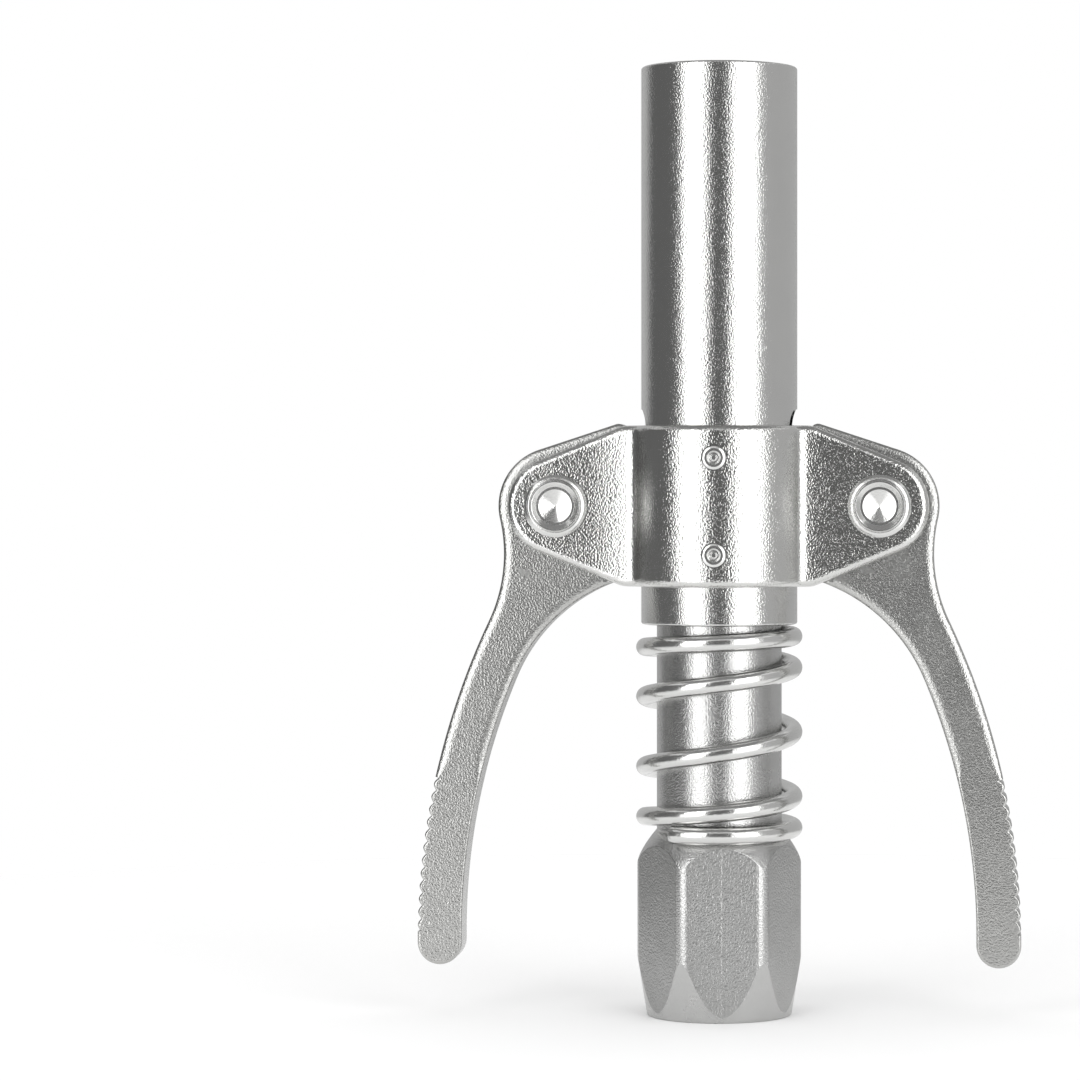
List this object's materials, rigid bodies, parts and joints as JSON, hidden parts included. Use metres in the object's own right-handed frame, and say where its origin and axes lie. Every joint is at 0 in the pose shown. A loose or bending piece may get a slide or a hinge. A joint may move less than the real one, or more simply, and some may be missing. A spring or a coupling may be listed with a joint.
{
  "type": "grease coupler",
  "caption": "Quick grease coupler: gripping jaws in a spring-loaded sleeve, opened by two squeeze levers on a riveted yoke, with a hex hose end.",
  "frame": {"origin": "on the axis at the mouth of the hose thread, in the plane of the hex end face", "axes": "+Z along the axis from the hose end to the jaws, +X across the levers, -Y the side of the formed rivet ends"},
  "size_m": [0.0618, 0.0188, 0.097],
  "materials": {
    "turned_steel": "turned and milled steel, matte grey",
    "plated_tube": "bright zinc plated tube with a fine speckle",
    "plated_sheet": "bright zinc plated pressed sheet",
    "plated_lever": "zinc plated stamping, grainy",
    "rivet_steel": "bright plated rivet",
    "spring_wire": "bright drawn wire",
    "ring_wire": "dark spring wire",
    "jaw_steel": "finely turned hardened steel",
    "ball_steel": "polished ball",
    "brass": "turned brass",
    "seal_rubber": "matte black nitrile rubber"
  },
  "bodies": {
    "core": {"core_body": "turned_steel", "valve_seat": "brass", "ball_spring": "spring_wire", "return_spring": "spring_wire", "jaw_ring": "ring_wire", "seal_spring": "spring_wire"},
    "sleeve": {"sleeve": "plated_tube", "yoke_front": "plated_sheet", "yoke_rear": "plated_sheet", "yoke_pins": "rivet_steel", "rivet_left": "rivet_steel", "rivet_right": "rivet_steel"},
    "lever_left": {"lever_left": "plated_lever"},
    "lever_right": {"lever_right": "plated_lever"},
    "jaw_1": {"jaw_1": "jaw_steel"},
    "jaw_2": {"jaw_2": "jaw_steel"},
    "jaw_3": {"jaw_3": "jaw_steel"},
    "jaw_4": {"jaw_4": "jaw_steel"},
    "jaw_5": {"jaw_5": "jaw_steel"},
    "jaw_6": {"jaw_6": "jaw_steel"},
    "seal": {"seal": "seal_rubber", "seal_carrier": "turned_steel"},
    "ball": {"check_ball": "ball_steel"}
  },
  "joints": [
    {"name": "sleeve_slide", "type": "slide", "parent": "core", "child": "sleeve", "axis": [0, 0, -1], "range_m": [0, 0.00439], "stiffness_N_per_m": 3000, "springref_m": -0.006, "deforming": ["return_spring"]},
    {"name": "lever_left_swing", "type": "hinge", "parent": "sleeve", "child": "lever_left", "pos_m": [-0.0165, 0, 0.0521], "axis": [0, -1, 0], "range_deg": [0, 22]},
    {"name": "lever_right_swing", "type": "hinge", "parent": "sleeve", "child": "lever_right", "pos_m": [0.0165, 0, 0.0521], "axis": [0, 1, 0], "range_deg": [0, 22]},
    {"name": "jaw_1_open", "type": "hinge", "parent": "core", "child": "jaw_1", "pos_m": [0.0047, 0, 0.079], "axis": [0, 1, 0], "range_deg": [0, 1.9]},
    {"name": "jaw_2_open", "type": "hinge", "parent": "core", "child": "jaw_2", "pos_m": [0.00235, 0.00407, 0.079], "axis": [-0.866, 0.5, 0], "range_deg": [0, 1.9]},
    {"name": "jaw_3_open", "type": "hinge", "parent": "core", "child": "jaw_3", "pos_m": [-0.00235, 0.00407, 0.079], "axis": [-0.866, -0.5, 0], "range_deg": [0, 1.9]},
    {"name": "jaw_4_open", "type": "hinge", "parent": "core", "child": "jaw_4", "pos_m": [-0.0047, 0, 0.079], "axis": [0, -1, 0], "range_deg": [0, 1.9]},
    {"name": "jaw_5_open", "type": "hinge", "parent": "core", "child": "jaw_5", "pos_m": [-0.00235, -0.00407, 0.079], "axis": [0.866, -0.5, 0], "range_deg": [0, 1.9]},
    {"name": "jaw_6_open", "type": "hinge", "parent": "core", "child": "jaw_6", "pos_m": [0.00235, -0.00407, 0.079], "axis": [0.866, 0.5, 0], "range_deg": [0, 1.9]},
    {"name": "seal_press", "type": "slide", "parent": "core", "child": "seal", "axis": [0, 0, -1], "range_m": [0, 0.0025], "stiffness_N_per_m": 300, "springref_m": -0.003, "deforming": ["seal_spring"]},
    {"name": "ball_lift", "type": "slide", "parent": "core", "child": "ball", "axis": [0, 0, 1], "range_m": [0, 0.0015], "stiffness_N_per_m": 200, "springref_m": -0.002, "deforming": ["ball_spring"]}
  ],
  "couplings": [
    {"joint": "lever_left_swing", "follows": "sleeve_slide", "rad_per_m": 87.4},
    {"joint": "lever_right_swing", "follows": "sleeve_slide", "rad_per_m": 87.4},
    {"joint": "jaw_1_open", "follows": "sleeve_slide", "rad_per_m": 7.54},
    {"joint": "jaw_2_open", "follows": "sleeve_slide", "rad_per_m": 7.54},
    {"joint": "jaw_3_open", "follows": "sleeve_slide", "rad_per_m": 7.54},
    {"joint": "jaw_4_open", "follows": "sleeve_slide", "rad_per_m": 7.54},
    {"joint": "jaw_5_open", "follows": "sleeve_slide", "rad_per_m": 7.54},
    {"joint": "jaw_6_open", "follows": "sleeve_slide", "rad_per_m": 7.54}
  ]
}
